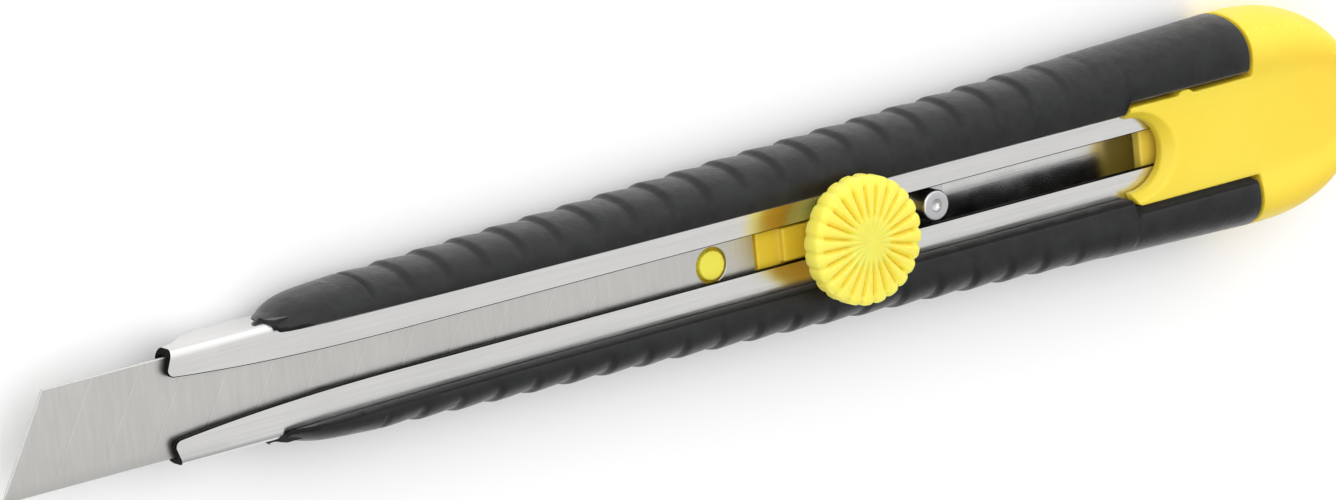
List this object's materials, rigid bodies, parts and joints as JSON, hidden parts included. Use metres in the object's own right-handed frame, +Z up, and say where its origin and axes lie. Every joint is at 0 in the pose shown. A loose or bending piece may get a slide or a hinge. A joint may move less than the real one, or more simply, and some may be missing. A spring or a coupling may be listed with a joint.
{
  "type": "utility knife",
  "caption": "Slim snap-off utility knife: steel channel handle with ridged dark grips, yellow locking wheel on a blade slider, and a yellow end cap that pulls off.",
  "frame": {"origin": "middle of the knife's outline, on the flat back that it lies on", "axes": "+X from the blade's point to the end cap, +Y from the cutting edge to the blade's spine, +Z up through the locking wheel"},
  "size_m": [0.1482, 0.02, 0.0127],
  "materials": {
    "blade_steel": "ground and polished carbon steel",
    "channel_steel": "smooth bright sheet steel",
    "plated_steel": "bright plated steel",
    "insert_brass": "turned brass",
    "core_plastic": "fine moulded texture",
    "grip_rubber": "matt soft grip",
    "cap_plastic": "satin moulded plastic",
    "slider_plastic": "satin moulded plastic",
    "wheel_plastic": "satin moulded plastic"
  },
  "bodies": {
    "handle": {"steel_channel": "channel_steel", "handle_core": "core_plastic", "upper_grip": "grip_rubber", "lower_grip": "grip_rubber"},
    "slider": {"blade": "blade_steel", "blade_slider": "slider_plastic", "carrier_plate": "plated_steel", "guide_pin": "plated_steel"},
    "wheel": {"thumb_wheel": "wheel_plastic", "wheel_insert": "insert_brass"},
    "clamp": {"clamp_screw": "plated_steel"},
    "cap": {"end_cap": "cap_plastic"}
  },
  "joints": [
    {"name": "blade_slide", "type": "slide", "parent": "handle", "child": "slider", "axis": [-1, 0, 0], "range_m": [-0.018, 0.048]},
    {"name": "wheel_turn", "type": "hinge", "parent": "slider", "child": "wheel", "pos_m": [0.0142, 0, 0.0104], "axis": [0, 0, 1], "range_deg": [0, 360]},
    {"name": "clamp_travel", "type": "slide", "parent": "slider", "child": "clamp", "axis": [0, 0, -1], "range_m": [0, 0.0005]},
    {"name": "cap_pull", "type": "slide", "parent": "handle", "child": "cap", "axis": [1, 0, 0], "range_m": [0, 0.022]}
  ],
  "couplings": [
    {"joint": "wheel_turn", "follows": "clamp_travel", "rad_per_m": 12566}
  ]
}
